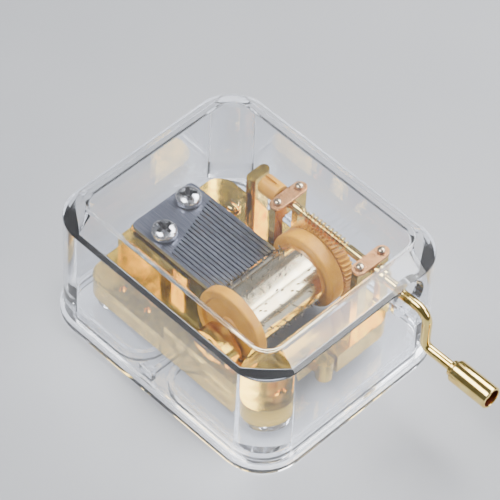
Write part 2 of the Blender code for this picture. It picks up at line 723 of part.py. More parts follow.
def wheel_ring(y, tip_r, root_r):
    """One outline of the wheel's teeth, turned to follow the worm's lead.

    The first tooth stands straight up, between two turns of the worm.
    """
    lean = WORM_PITCH / (2 * math.pi * (WORM_TIP_R - ADDENDUM))
    twist = lean * (y - SHAFT_Y) / WHEEL_PITCH_R
    tip_half = (TOOTH_AT_PITCH / 2 - ADDENDUM * TOOTH_SLOPE) / WHEEL_TIP_R
    root_half = (TOOTH_AT_PITCH / 2 + DEDENDUM * TOOTH_SLOPE) / WHEEL_ROOT_R
    points = []
    for i in range(WHEEL_TEETH):
        middle = 2 * math.pi * i / WHEEL_TEETH + twist
        for offset, radius in ((-root_half, root_r), (-tip_half, tip_r),
                               (tip_half, tip_r), (root_half, root_r)):
            angle = middle + offset
            points.append((CYL_X + radius * math.sin(angle), y,
                           CYL_Z + radius * math.cos(angle)))
    return points


def make_wheel(carrier):
    bore = AXLE_R + RUN_GAP
    plug = DRUM_R - DRUM_WALL - RUN_GAP
    flange_y1 = WHEEL_Y0 + WHEEL_FLANGE
    hub_y1 = WHEEL_Y1 - 0.4
    profile = [
        (bore, CYL_Y1 - SPIGOT_LENGTH), (plug, CYL_Y1 - SPIGOT_LENGTH), (plug, WHEEL_Y0),
        (DISC_R - 0.4, WHEEL_Y0), (DISC_R, WHEEL_Y0 + 0.4), (DISC_R, flange_y1 - 0.3),
        (DISC_R - 0.3, flange_y1), (WHEEL_ROOT_R - 0.6, flange_y1),
        (WHEEL_ROOT_R - 0.6, hub_y1), (bore, hub_y1),
    ]
    wheel = place("worm_wheel", turned(profile, (CYL_X, CYL_Z), on_y, 48, closed=True),
                  "amber", carrier)
    teeth = bmesh.new()
    inner_r = WHEEL_ROOT_R - 1.6
    y0 = WHEEL_Y1 - WHEEL_FACE
    radii = (WHEEL_TIP_R, WHEEL_ROOT_R)
    rings = [wheel_ring(y0, *radii), wheel_ring(WHEEL_Y1, *radii)]
    rings += [wheel_ring(WHEEL_Y1, inner_r, inner_r), wheel_ring(y0, inner_r, inner_r)]
    add_loft(teeth, rings, closed=True)
    join(wheel, "wheel_teeth", teeth)


def make_end_disc(carrier):
    bore = AXLE_R + RUN_GAP
    plug = DRUM_R - DRUM_WALL - RUN_GAP
    y1 = DISC_Y0 + DISC_THICKNESS
    dish = DISC_Y0 + DISC_DISH
    profile = [
        (bore, DISC_Y0), (DISC_HUB_R, DISC_Y0), (DISC_HUB_R, dish), (DISC_RIM_R, dish),
        (DISC_RIM_R + 0.4, DISC_Y0), (DISC_R - 0.5, DISC_Y0), (DISC_R, DISC_Y0 + 0.5),
        (DISC_R, y1 - 0.4),
        (DISC_R - 0.4, y1), (plug, y1), (plug, CYL_Y0 + SPIGOT_LENGTH),
        (bore, CYL_Y0 + SPIGOT_LENGTH),
    ]
    place("cylinder_end_disc", turned(profile, (CYL_X, CYL_Z), on_y, 40, closed=True),
          "amber", carrier)


def bearing_faces():
    """Where the two bearing blocks face the cylinder, along Y."""
    beside = END_PLAY + REST_GAP
    return DISC_Y0 - beside, WHEEL_Y1 + beside


def make_axle(carrier):
    front, back = bearing_faces()
    y0 = front - FRONT_BEARING + 0.2
    y1 = back + BACK_BEARING - 0.2
    profile = [(JOURNAL_R - 0.15, y0), (JOURNAL_R, y0 + 0.15), (JOURNAL_R, front + REST_GAP),
               (AXLE_R, front + REST_GAP), (AXLE_R, back - REST_GAP),
               (JOURNAL_R, back - REST_GAP), (JOURNAL_R, y1 - 0.15), (JOURNAL_R - 0.15, y1)]
    place("cylinder_axle", turned(profile, (CYL_X, CYL_Z), on_y, 20), "bright_steel", carrier)


# ---------------------------------------------------------------- crank shaft

def thread_radius(along):
    """Radius of the worm's surface at a distance from a thread's middle."""
    pitch_r = WORM_TIP_R - ADDENDUM
    half = TOOTH_AT_PITCH / 2
    offset = abs(along)
    crest = half - ADDENDUM * TOOTH_SLOPE
    root = half + (pitch_r - WORM_ROOT_R) * TOOTH_SLOPE
    if offset <= crest:
        return WORM_TIP_R
    if offset >= root:
        return WORM_ROOT_R
    return WORM_TIP_R + (WORM_ROOT_R - WORM_TIP_R) * (offset - crest) / (root - crest)


def thread_stations():
    """Distances from a thread's middle at which its profile bends."""
    half = TOOTH_AT_PITCH / 2
    crest = half - ADDENDUM * TOOTH_SLOPE
    root = half + (WORM_TIP_R - ADDENDUM - WORM_ROOT_R) * TOOTH_SLOPE
    return (-root, -crest, crest, root)


def make_worm_shaft(carrier):
    """Shaft with its worm: a grid of points that climbs one pitch each turn."""
    around = 20
    stations = thread_stations()
    bottom = -90.0
    first = WORM_X - WORM_PITCH * (WORM_TURNS - 1) / 2
    bm = bmesh.new()
    grid = []
    for i in range(around):
        turn = i / around
        angle = math.radians(bottom + 360 * turn)
        row = []
        for thread in range(WORM_TURNS + 1):
            full = {0: turn, WORM_TURNS: 1 - turn}.get(thread, 1.0)
            for station in stations:
                radius = WORM_ROOT_R + full * (thread_radius(station) - WORM_ROOT_R)
                along = first + WORM_PITCH * (thread - 0.5 + turn) + station
                row.append(bm.verts.new((along, SHAFT_Y + radius * math.cos(angle),
                                         SHAFT_Z + radius * math.sin(angle))))
        grid.append(row)
    per_turn = len(stations)
    last = len(grid[0]) - 1
    for i in range(around - 1):
        for j in range(last):
            bm.faces.new((grid[i][j], grid[i][j + 1], grid[i + 1][j + 1], grid[i + 1][j]))
    for j in range(last - per_turn):
        seam = (grid[-1][j], grid[-1][j + 1], grid[0][j + 1 + per_turn], grid[0][j + per_turn])
        bm.faces.new(seam)
    start = [row[0] for row in grid]
    start_seam = grid[0][per_turn::-1]
    finish = [row[last] for row in grid]
    finish_seam = grid[-1][last - per_turn:]
    shaft_end(bm, start, start_seam, first - 1.1, END_BUSH_X + 0.3, bottom, around, False)
    shaft_end(bm, finish, finish_seam, WORM_X + WORM_PITCH * (WORM_TURNS + 2.4) / 2, SHAFT_X1,
              bottom, around, True)
    shaft = place("worm_shaft", bm, "brass", carrier)
    socket = circle(SHAFT_Y, SHAFT_Z, TANG_R + RUN_GAP, 16)
    cut(shaft, "cut_socket", prism(socket, SHAFT_X1 - TANG_LENGTH - REST_GAP, SHAFT_X1 + 1, on_x))


def shaft_end(bm, edge, seam, shoulder_x, end_x, bottom, around, far):
    """Close one end of the worm and run the plain shaft out to its end."""
    rings = []
    for radius, x in ((WORM_ROOT_R, shoulder_x), (SHAFT_R, shoulder_x), (SHAFT_R, end_x)):
        ring = []
        for i in range(around):
            angle = math.radians(bottom + 360 * i / around)
            ring.append(bm.verts.new((x, SHAFT_Y + radius * math.cos(angle),
                                      SHAFT_Z + radius * math.sin(angle))))
        rings.append(ring)
    base = rings[0]
    for i in range(around - 1):
        bm.faces.new((edge[i], edge[i + 1], base[i + 1], base[i]))
    if far:
        closing = [edge[-1], *reversed(seam[:-1]), edge[0], base[0], base[-1]]
    else:
        closing = [*seam, base[0], base[-1], edge[-1]]
    unique = []
    for vert in closing:
        if vert not in unique:
            unique.append(vert)
    bm.faces.new(unique)
    for lower, upper in zip(rings, rings[1:]):
        for i in range(around):
            k = (i + 1) % around
            bm.faces.new((lower[i], lower[k], upper[k], upper[i]))
    bm.faces.new(rings[-1])


def make_end_bush(carrier):
    bore = SHAFT_R + RUN_GAP
    x1 = END_BUSH_X + END_BUSH_LENGTH
    profile = [(bore, END_BUSH_X), (END_BUSH_R - 0.3, END_BUSH_X), (END_BUSH_R, END_BUSH_X + 0.3),
               (END_BUSH_R, x1), (bore, x1)]
    bush = place("shaft_end_bush", turned(profile, (SHAFT_Y, SHAFT_Z), on_x, 24, closed=True),
                 "amber", carrier)
    half = END_BUSH_SLOT / 2
    slot = rectangle(SHAFT_Y - half, SHAFT_Y + half, SHAFT_Z + bore + 0.3, SHAFT_Z + END_BUSH_R + 1)
    cut(bush, "cut_bush_slot", prism(slot, END_BUSH_X - 1, x1 - 1.4, on_x))


def make_collar(carrier):
    bore = max(ROD_R, SHAFT_R) + RUN_GAP
    outer = bore + COLLAR_WALL
    x0 = PEDESTAL_X_OUTER + CLIP_WIDTH / 2 + REST_GAP
    x1 = x0 + COLLAR_LENGTH
    profile = [(bore, x0), (outer - 0.2, x0), (outer, x0 + 0.2), (outer, x1 - 0.2),
               (outer - 0.2, x1), (bore, x1)]
    place("shaft_collar", turned(profile, (SHAFT_Y, SHAFT_Z), on_x, 24, closed=True),
          "brass", carrier)


def make_clip(name, rivet_names, x):
    outline = obround(x, SHAFT_Y, CLIP_WIDTH, CLIP_LENGTH)
    clip = place(name, prism(outline, CLIP_Z, CLIP_Z + CLIP_THICKNESS), "copper")
    head_z = CLIP_Z + CLIP_THICKNESS + REST_GAP
    for side, rivet_name in zip((-1, 1), rivet_names):
        y = SHAFT_Y + side * RIVET_SPACING / 2
        bore = circle(x, y, RIVET_R + RUN_GAP, 16)
        cut(clip, "cut_clip_bore", prism(bore, CLIP_Z - 1, CLIP_Z + 2))
        profile = [
            (RIVET_R, PEDESTAL_TOP - 2.0), (RIVET_R, head_z), (RIVET_HEAD_R, head_z),
            (RIVET_HEAD_R * 0.92, head_z + RIVET_HEAD * 0.55),
            (RIVET_HEAD_R * 0.55, head_z + RIVET_HEAD),
        ]
        place(rivet_name, turned(profile, (x, y), on_z, 16), "bright_steel")


# ---------------------------------------------------------------- crank

def rod_centreline():
    """Shaft line, down the arm and out along the handle, in the XZ plane."""
    points = [(SHAFT_X1 + REST_GAP, SHAFT_Z)]
    points += arc(ARM_X - UPPER_BEND_R, SHAFT_Z - UPPER_BEND_R, UPPER_BEND_R, 90, 0, 8)
    points += arc(ARM_X + LOWER_BEND_R, HANDLE_Z + LOWER_BEND_R, LOWER_BEND_R, 180, 270, 7)
    points.append((KNOB_X + KNOB_LENGTH - KNOB_CUP_DEPTH + REST_GAP, HANDLE_Z))
    return [Vector((x, SHAFT_Y, z)) for x, z in points]


def make_rod(carrier):
    points = rod_centreline()
    side = Vector((0.0, 1.0, 0.0))
    rings = []
    for i, point in enumerate(points):
        before = points[max(i - 1, 0)]
        after = points[min(i + 1, len(points) - 1)]
        along = (after - before).normalized()
        up = side.cross(along)
        ring = [point + side * u + up * v for u, v in circle(0.0, 0.0, ROD_R, 16)]
        rings.append(ring)
    rod = place("crank_rod", loft(rings), "brass", carrier)
    tang = circle(SHAFT_Y, SHAFT_Z, TANG_R, 12)
    join(rod, "rod_tang", prism(tang, SHAFT_X1 - TANG_LENGTH, SHAFT_X1 + 1.5, on_x))
    head_x = points[-1].x
    head = circle(SHAFT_Y, HANDLE_Z, KNOB_HEAD_R, 16)
    join(rod, "rod_head", prism(head, head_x - 0.05, head_x + KNOB_HEAD, on_x))


def make_knob(carrier):
    bore = ROD_R + RUN_GAP
    x1 = KNOB_X + KNOB_LENGTH
    barrel = KNOB_X + KNOB_NECK
    floor = x1 - KNOB_CUP_DEPTH
    profile = [
        (bore, KNOB_X), (KNOB_NECK_R, KNOB_X), (KNOB_NECK_R, barrel),
        (KNOB_R - KNOB_CHAMFER, barrel), (KNOB_R, barrel + KNOB_CHAMFER),
        (KNOB_R, x1 - KNOB_CHAMFER), (KNOB_CUP_R + 0.1, x1), (KNOB_CUP_R, x1 - 0.15),
        (KNOB_CUP_R, floor), (bore, floor),
    ]
    place("crank_knob", turned(profile, (SHAFT_Y, HANDLE_Z), on_x, 32, closed=True),
          "brass", carrier)


# ---------------------------------------------------------------- mounting

def make_mounting_screw(name, x, y):
    low = 0.15
    shoulder = low + SCREW_HEAD_HEIGHT - 0.1
    profile = [(SCREW_HEAD_R - 0.2, low), (SCREW_HEAD_R, low + 0.3), (SCREW_HEAD_R, shoulder),
               (SCREW_R, shoulder), (SCREW_R, BED_Z + SCREW_DEPTH)]
    screw = place(name, turned(profile, (x, y), on_z, 20), "bright_steel")
    for k in range(2):
        u, v = ((1.1, 0.2), (0.2, 1.1))[k]
        cut(screw, "cut_drive", prism(rectangle(x - u, x + u, y - v, y + v), -1, low + 0.5))


def build():
    clear_scene()
    crank = pivot("crank_axis", (0.0, SHAFT_Y, SHAFT_Z))
    cylinder = pivot("cylinder_axis", (CYL_X, 0.0, CYL_Z))
    knob = pivot("knob_axis", (KNOB_X, SHAFT_Y, HANDLE_Z))
    make_lid()
    make_tray()
    make_bedplate()
    make_deck_stubs()
    make_comb()
    for number, (x, y) in enumerate(COMB_SCREW_PLACES, 1):
        make_comb_screw(f"comb_screw_{number}", x, y, 20 + 35 * number)
    make_drum(cylinder)
    make_wheel(cylinder)
    make_end_disc(cylinder)
    make_axle(cylinder)
    make_worm_shaft(crank)
    make_end_bush(crank)
    make_collar(crank)
    make_clip("shaft_clip_inner", ("clip_rivet_1", "clip_rivet_2"), PEDESTAL_X_INNER)
    make_clip("shaft_clip_outer", ("clip_rivet_3", "clip_rivet_4"), PEDESTAL_X_OUTER)
    make_rod(crank)
    make_knob(knob)
    for number, (x, y) in enumerate(FOOT_PLACES, 1):
        make_mounting_screw(f"mounting_screw_{number}", x, y)


build()
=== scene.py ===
"""Looks of the hand crank music box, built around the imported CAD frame.

Every piece is modelled in millimetres, in the frame's own axes: +X runs along
the crank shaft, +Y along the pinned cylinder and +Z is up. linked() scales a
finished mesh to metres.
"""

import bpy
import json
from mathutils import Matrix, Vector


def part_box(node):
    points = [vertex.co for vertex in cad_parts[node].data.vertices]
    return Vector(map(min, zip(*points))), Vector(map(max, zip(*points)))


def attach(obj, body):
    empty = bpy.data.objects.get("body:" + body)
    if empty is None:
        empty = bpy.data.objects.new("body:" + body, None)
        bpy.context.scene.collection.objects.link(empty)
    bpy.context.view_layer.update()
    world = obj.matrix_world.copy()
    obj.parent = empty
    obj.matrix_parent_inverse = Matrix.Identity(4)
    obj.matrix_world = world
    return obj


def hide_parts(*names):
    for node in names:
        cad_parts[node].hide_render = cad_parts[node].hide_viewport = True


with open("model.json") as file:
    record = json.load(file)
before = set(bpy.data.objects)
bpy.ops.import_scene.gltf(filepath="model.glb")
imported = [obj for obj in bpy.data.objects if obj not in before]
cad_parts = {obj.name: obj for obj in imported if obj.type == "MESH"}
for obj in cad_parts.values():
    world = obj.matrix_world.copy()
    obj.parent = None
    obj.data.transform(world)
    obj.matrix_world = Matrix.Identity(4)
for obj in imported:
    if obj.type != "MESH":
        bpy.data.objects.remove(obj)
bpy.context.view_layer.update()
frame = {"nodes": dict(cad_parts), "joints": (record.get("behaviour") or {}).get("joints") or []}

import json
import math

import bmesh
import bpy
from mathutils import Matrix, Vector

MM = 0.001

# Axes of the moving bodies
AXES = {joint["name"]: Vector(joint["pos_m"]) / MM for joint in frame["joints"]}
SHAFT_Y = AXES["crank_spin"].y
SHAFT_Z = AXES["crank_spin"].z
CYL_X = AXES["cylinder_spin"].x
CYL_Z = AXES["cylinder_spin"].z
KNOB_X = AXES["knob_spin"].x
HANDLE_Z = AXES["knob_spin"].z

# Clearances
RUN_GAP = 0.2             # radial, around turning shafts
REST_GAP = 0.3            # between pieces that fasten to each other

# Case
CASE_CORNER_R = 8.8
CASE_CORNER_STEPS = 24
CASE_LEAST_CORNER_R = 0.3   # smallest corner of an inset outline
CASE_WALL = 2.0
CASE_DRAFT = 0.36         # how far the walls lean in over their height
CASE_CHAMFER = 4.2        # drop of the 45 degree facets round the top
CASE_EDGE_R = 0.5         # between a wall and its facet
CASE_RIDGE_R = 0.25       # softening of the other edges
CASE_TOP_RUN = 2.0        # flat drawn past a facet before the top is closed
THICK_CORNER_Z = (4.7, 5.7)   # the upright corners thicken between these heights
THICK_CORNER_FADE = 3.0   # and thin out again this far below the ceiling
CRANK_HOLE_R = 4.2
LATCH_POCKET_X = (-3.8, -0.6)
LATCH_POCKET_Z = (3.8, 5.7)
LATCH_POCKET_DEPTH = 0.8
CUT_OVERRUN = 2.0         # how far a cutting shape stands out of what it cuts
HOLE_OVERRUN = 0.24       # the same, for the crank's hole on the inside
TRAY_EDGE_R = 0.15

# Pinned cylinder
DRUM_R = 6.5
DRUM_WALL = 0.7
PIN_R = 0.16
PIN_HEIGHT = 0.55
PIN_SINK = 0.2            # how deep a pin starts inside the drum's wall
PINS_A_TOOTH = 7
PIN_PATTERN = (53, 29, 17)    # steps that scatter the pins round the drum
SEAM_CLEARANCE = 3.0      # degrees kept free of pins beside the seam
DRUM_EDGE = 0.12
SEAM_WIDTH = 0.22
SEAM_DEPTH = 0.3
SEAM_ANGLE = 118
DISC_R = 8.4
DISC_THICKNESS = 2.3
HUB_R = 2.0
DISH_R = 6.4
DISH = 0.5
SPIGOT_LENGTH = 1.4
AXLE_R = 0.9

# Worm gear
WHEEL_TEETH = 49
WHEEL_TIP_R = 8.46
WHEEL_ROOT_R = 7.82
WHEEL_FACE = 2.6
WHEEL_FLANGE = 3.1
WHEEL_DISH = 0.4
WHEEL_RIM = 0.6           # solid rim under the teeth
TEETH_SINK = 1.6          # how deep the ring of teeth reaches under its roots
TOOTH_END = 0.15          # rounding of the teeth's ends
SHAFT_R = 1.0
WORM_PITCH = 1.05
WORM_TIP_R = 1.3
WORM_ROOT_R = 0.66
WORM_PITCH_R = 1.02
TOOTH_CREST = 0.11        # half a tooth's width at its tip, on the worm and the wheel
TOOTH_FOOT = 0.23         # and at its root
WORM_TURNS = 10
WORM_CREST_DROP = 0.04    # how far a thread's rounded crest falls to its sides
WORM_LEAD_IN = 1.1        # plain root before the first thread
WORM_LEAD_OUT = 1.785     # and after the last one
SHAFT_SHOULDER = 0.15     # length of the cone between the worm's root and the shaft
SHAFT_END_R = 0.3         # flat middle of the shaft's end faces

# Comb, screws, bush and rivets
COMB_TEETH = 18
COMB_MARGIN = 0.05
SCREW_R = 2.65
SCREW_SHANK_R = 1.2
SCREW_SIDE = 0.9
SCREW_RISE = 1.2
SCREW_EDGE = 0.15
SCREW_LEAST_R = 0.02      # the dome's profile stops this short of its axis
CROSS_REACH = 1.75
CROSS_HALF = 0.42
CROSS_STEP = 0.01         # keeps the two slots' floors apart for the boolean
BUSH_SLOT_HALF = 0.3
BUSH_SLOT_FLOOR = 0.3     # wall left between the bush's bore and its slot
BUSH_SLOT_END = 1.4       # length of the bush past its slot
RIVET_SHANK_R = 0.4
RIVET_HEIGHT = 0.6
RIVET_SIDE = 0.12

# Crank
ROD_R = 1.05
UPPER_BEND_R = 3.0
LOWER_BEND_R = 1.7
KNOB_REACH = 7.3
KNOB_R = 2.45
KNOB_NECK_R = 1.75
KNOB_NECK = 0.9
KNOB_CUP_R = 1.95
KNOB_CUP_DEPTH = 1.6
LINER_R = 1.4             # inner radius of the liner's floor ring
LINER_GAP = 0.01
LINER_THICKNESS = 0.1
LINER_INSET = 0.25        # below the knob's outer face
HEAD_R = 1.3              # domed head on the end of the handle
HEAD_RISE = 0.72

# Camera: where it stands round the object, in degrees and millimetres
CAMERA_AZIMUTH = 43.478
CAMERA_ELEVATION = 50.441
CAMERA_ROLL = 2.639
CAMERA_DISTANCE = 575.447
CAMERA_AIM = Vector((0.0, 0.0, 17.0))
CAMERA_SLIDE = (-0.541, -3.776)
CAMERA_LENS = 210.5

# Stage
FLOOR_HALF = 900.0
FLOOR_DROP = 0.02         # below the resting face
LIGHT_AIM = Vector((0.0, 0.0, 15.0))


# ---------------------------------------------------------------- mesh helpers

def box(node):
    low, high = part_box(node)
    return Vector(low) / MM, Vector(high) / MM


def arc(cx, cy, radius, start, end, steps):
    """Points along an arc; angles in degrees."""
    points = []
    for i in range(steps + 1):
        angle = math.radians(start + (end - start) * i / steps)
        points.append((cx + radius * math.cos(angle), cy + radius * math.sin(angle)))
    return points


def circle(cx, cy, radius, steps=48):
    return arc(cx, cy, radius, 0, 360, steps)[:-1]


def rounded_rect(x0, x1, y0, y1, radius, steps=16):
    points = []
    points += arc(x1 - radius, y1 - radius, radius, 0, 90, steps)
    points += arc(x0 + radius, y1 - radius, radius, 90, 180, steps)
    points += arc(x0 + radius, y0 + radius, radius, 180, 270, steps)
    points += arc(x1 - radius, y0 + radius, radius, 270, 360, steps)
    return points


def on_z(u, v, w):
    return (u, v, w)


def on_x(u, v, w):
    return (w, u, v)


def on_y(u, v, w):
    return (u, w, v)


def add_loft(bm, rings, closed=False):
    """Skin rings of equally many points; ends are capped unless closed."""
    rows = [[bm.verts.new(point) for point in ring] for ring in rings]
    count = len(rows[0])
    pairs = list(zip(rows, rows[1:]))
    if closed:
        pairs.append((rows[-1], rows[0]))
    for lower, upper in pairs:
        for i in range(count):
            k = (i + 1) % count
            bm.faces.new((lower[i], lower[k], upper[k], upper[i]))
    if not closed:
        bm.faces.new(rows[0][::-1])
        bm.faces.new(rows[-1])


def loft(rings, closed=False):
    bm = bmesh.new()
    add_loft(bm, rings, closed)
    return bm


def prism(outline, low, high, axes=on_z):
    return loft([[axes(u, v, w) for u, v in outline] for w in (low, high)])


def turned(profile, centre, axes, steps=96, closed=False):
    """Revolve (radius, along) pairs about an axis through centre."""
    rings = []
    for radius, along in profile:
        rings.append([axes(u, v, along) for u, v in circle(*centre, radius, steps)])
    return loft(rings, closed)


def soft_corner(profile, index, radius, steps=5):
    """Replace one corner of a profile by an arc-like blend."""
    before = Vector(profile[index - 1])
    here = Vector(profile[index])
    after = Vector(profile[(index + 1) % len(profile)])
    start = here + (before - here).normalized() * radius
    end = here + (after - here).normalized() * radius
    blend = []
    for i in range(steps + 1):
        t = i / steps
        blend.append(tuple(start * (1 - t) ** 2 + here * 2 * t * (1 - t) + end * t * t))
    return blend


def softened(profile, radii, closed=False):
    """The profile with its corners rounded; radii are given corner by corner."""
    points = []
    for i, radius in enumerate(radii):
        inner = closed or 0 < i < len(profile) - 1
        if radius and inner:
            points += soft_corner(profile, i, radius)
        else:
            points.append(profile[i])
    return points


def linked(name, bm):
    """Turn a millimetre bmesh into an object in metres."""
    bmesh.ops.recalc_face_normals(bm, faces=bm.faces)
    bmesh.ops.scale(bm, vec=(MM, MM, MM), verts=bm.verts)
    mesh = bpy.data.meshes.new(name)
    bm.to_mesh(mesh)
    bm.free()
    obj = bpy.data.objects.new(name, mesh)
    bpy.context.scene.collection.objects.link(obj)
    return obj


def place(name, bm, mat, body, angle=38):
    """Turn a millimetre bmesh into a smooth-shaded piece that rides on a body."""
    obj = linked(name, bm)
    mesh = obj.data
    mesh.materials.append(mat)
    mesh.shade_smooth()
    mesh.set_sharp_from_angle(angle=math.radians(angle))
    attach(obj, body)
    return obj


def cut(obj, name, bm):
    """Cut a helper shape out of a piece and keep only the result."""
    helper = linked(name, bm)
    step = obj.modifiers.new(name, "BOOLEAN")
    step.operation = "DIFFERENCE"
    step.solver = "EXACT"
    step.object = helper
    settle(obj)
    bpy.data.objects.remove(helper, do_unlink=True)


def settle(obj):
    """Bake an object's modifiers into its mesh."""
    bpy.context.view_layer.update()
    graph = bpy.context.evaluated_depsgraph_get()
    mesh = bpy.data.meshes.new_from_object(obj.evaluated_get(graph))
    obj.modifiers.clear()
    obj.data = mesh


def weigh_normals(obj, keep_sharp):
    """Weight the normals by face area, so that flats stay flat."""
    level = obj.modifiers.new("flats", "WEIGHTED_NORMAL")
    level.weight = 100
    level.keep_sharp = keep_sharp


def smooth_edges(obj, width, segments, angle=35):
    """Round the sharp edges and keep the flats between them flat."""
    edge = obj.modifiers.new("edge", "BEVEL")
    edge.width = width * MM
    edge.segments = segments
    edge.limit_method = "ANGLE"
    edge.angle_limit = math.radians(angle)
    edge.use_clamp_overlap = True
    weigh_normals(obj, False)
    settle(obj)


def refined(name, node, mat, body, width, segments=3):
    """A finished copy of a CAD node with its edges rounded.

    The node's mesh is welded first and the edges inside its flat faces dissolved.
    """
    bm = bmesh.new()
    bm.from_mesh(frame["nodes"][node].data)
    bmesh.ops.remove_doubles(bm, verts=bm.verts, dist=1e-6)
    bmesh.ops.dissolve_limit(bm, angle_limit=math.radians(0.6), verts=bm.verts, edges=bm.edges)
    bmesh.ops.scale(bm, vec=(1 / MM, 1 / MM, 1 / MM), verts=bm.verts)
    obj = place(name, bm, mat, body)
    smooth_edges(obj, width, segments)
    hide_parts(node)
    return obj


# ---------------------------------------------------------------- materials

class Finish:
    """A Principled material whose colour, gloss and relief come from textures."""

    def __init__(self, name, metallic=0.0):
        self.mat = bpy.data.materials.new(name)
        self.mat.use_nodes = True
        self.tree = self.mat.node_tree
        self.shader = self.tree.nodes["Principled BSDF"]
        self.shader.inputs["Metallic"].default_value = metallic
        self.where = self.tree.nodes.new("ShaderNodeTexCoord").outputs["Object"]
        self.relief = None

    def set(self, **values):
        for socket, value in values.items():
            self.shader.inputs[socket.replace("_", " ")].default_value = value

    def noise(self, scale, detail=3.0, stretch=(1.0, 1.0, 1.0), roughness=0.55):
        """Noise with features of about 1/scale metres."""
        mapping = self.tree.nodes.new("ShaderNodeMapping")
        mapping.inputs["Scale"].default_value = stretch
        self.tree.links.new(self.where, mapping.inputs["Vector"])
        texture = self.tree.nodes.new("ShaderNodeTexNoise")
        texture.inputs["Scale"].default_value = scale
        texture.inputs["Detail"].default_value = detail
        texture.inputs["Roughness"].default_value = roughness
        self.tree.links.new(mapping.outputs["Vector"], texture.inputs["Vector"])
        return texture.outputs["Fac"]

    def spread(self, source, low, high, start=0.35, end=0.65):
        node = self.tree.nodes.new("ShaderNodeMapRange")
        node.inputs["From Min"].default_value = start
        node.inputs["From Max"].default_value = end
        node.inputs["To Min"].default_value = low
        node.inputs["To Max"].default_value = high
        self.tree.links.new(source, node.inputs["Value"])
        return node.outputs["Result"]

    def colour(self, source, *stops):
        """Colour ramp over a texture; stops are (position, colour) pairs."""
        ramp = self.tree.nodes.new("ShaderNodeValToRGB")
        elements = ramp.color_ramp.elements
        while len(elements) < len(stops):
            elements.new(0.5)
        for element, (position, rgb) in zip(elements, stops):
            element.position = position
            element.color = (*rgb, 1.0)
        self.tree.links.new(source, ramp.inputs["Fac"])
        self.tree.links.new(ramp.outputs["Color"], self.shader.inputs["Base Color"])

    def gloss(self, source, low, high):
        self.tree.links.new(self.spread(source, low, high), self.shader.inputs["Roughness"])

    def bump(self, source, height, strength=1.0):
        """Relief of a height in millimetres; several calls add up."""
        node = self.tree.nodes.new("ShaderNodeBump")
        node.inputs["Distance"].default_value = height * MM
        node.inputs["Strength"].default_value = strength
        self.tree.links.new(source, node.inputs["Height"])
        if self.relief is not None:
            self.tree.links.new(self.relief, node.inputs["Normal"])
        self.relief = node.outputs["Normal"]
        self.tree.links.new(self.relief, self.shader.inputs["Normal"])


def clear_case():
    look = Finish("clear_styrene")
    look.set(IOR=1.50, Transmission_Weight=0.988, Specular_IOR_Level=0.30)
    faint = look.noise(90, 2)
    look.colour(faint, (0.3, (0.90, 0.915, 0.95)), (0.7, (0.965, 0.975, 1.0)))
    look.gloss(look.noise(1500, 4, (1, 6, 1)), 0.0, 0.025)
    look.bump(look.noise(110, 1), 0.02, 0.5)
    return look.mat


def gilt_casting():
    look = Finish("gilt_casting", 1.0)
    tone = look.noise(260, 5)
    look.colour(tone, (0.3, (0.62, 0.38, 0.045)), (0.5, (0.74, 0.48, 0.075)),
                (0.72, (0.86, 0.60, 0.14)))
    look.gloss(look.noise(700, 4), 0.10, 0.26)
    look.bump(look.noise(900, 4), 0.03, 0.6)
    look.bump(look.noise(5200, 2), 0.006, 0.5)
    return look.mat


def polished_brass():
    look = Finish("polished_brass", 1.0)
    look.colour(look.noise(500, 4), (0.3, (0.84, 0.56, 0.15)), (0.7, (0.98, 0.78, 0.30)))
    look.gloss(look.noise(2600, 3, (5, 1, 1)), 0.07, 0.18)
    look.bump(look.noise(3000, 2, (6, 1, 1)), 0.005, 0.5)
    return look.mat


def cylinder_brass():
    look = Finish("cylinder_brass", 1.0)
    look.colour(look.noise(320, 4), (0.3, (0.80, 0.64, 0.37)), (0.7, (0.98, 0.88, 0.64)))
    look.gloss(look.noise(1800, 3, (0.3, 5, 0.3)), 0.10, 0.22)
    look.bump(look.noise(420, 3), 0.014, 0.6)
    look.bump(look.noise(1500, 2, (0.3, 4, 0.3)), 0.002, 0.4)
    return look.mat


def comb_steel():
    look = Finish("comb_steel", 1.0)
    look.colour(look.noise(1600, 2, (0.03, 2, 1)), (0.3, (0.085, 0.09, 0.12)),
                (0.7, (0.15, 0.16, 0.205)))
    look.gloss(look.noise(1500, 2, (0.05, 3, 1)), 0.28, 0.40)
    look.bump(look.noise(2500, 1, (0.02, 3, 1)), 0.002, 0.5)
    return look.mat


def bright_steel():
    look = Finish("bright_steel", 1.0)
    look.colour(look.noise(700, 4), (0.3, (0.55, 0.54, 0.54)), (0.7, (0.88, 0.88, 0.90)))
    look.gloss(look.noise(1600, 4), 0.10, 0.28)
    look.bump(look.noise(1400, 3), 0.012, 0.5)
    return look.mat


def rivet_brass():
    look = Finish("rivet_brass", 1.0)
    look.colour(look.noise(700, 3), (0.3, (0.52, 0.40, 0.26)), (0.7, (0.82, 0.68, 0.48)))
    look.gloss(look.noise(1500, 3), 0.14, 0.28)
    return look.mat


# Dark steel that paints shade into the screws' cross recesses.
def recess_shade_steel():
    look = Finish("recess_shade_steel", 1.0)
    look.colour(look.noise(900, 3), (0.3, (0.06, 0.058, 0.06)), (0.7, (0.15, 0.145, 0.15)))
    look.gloss(look.noise(1500, 3), 0.35, 0.5)
    return look.mat


def pin_steel():
    look = Finish("pin_steel", 1.0)
    look.colour(look.noise(1500, 2), (0.3, (0.08, 0.065, 0.05)), (0.7, (0.34, 0.29, 0.22)))
    look.gloss(look.noise(2000, 2), 0.15, 0.35)
    return look.mat


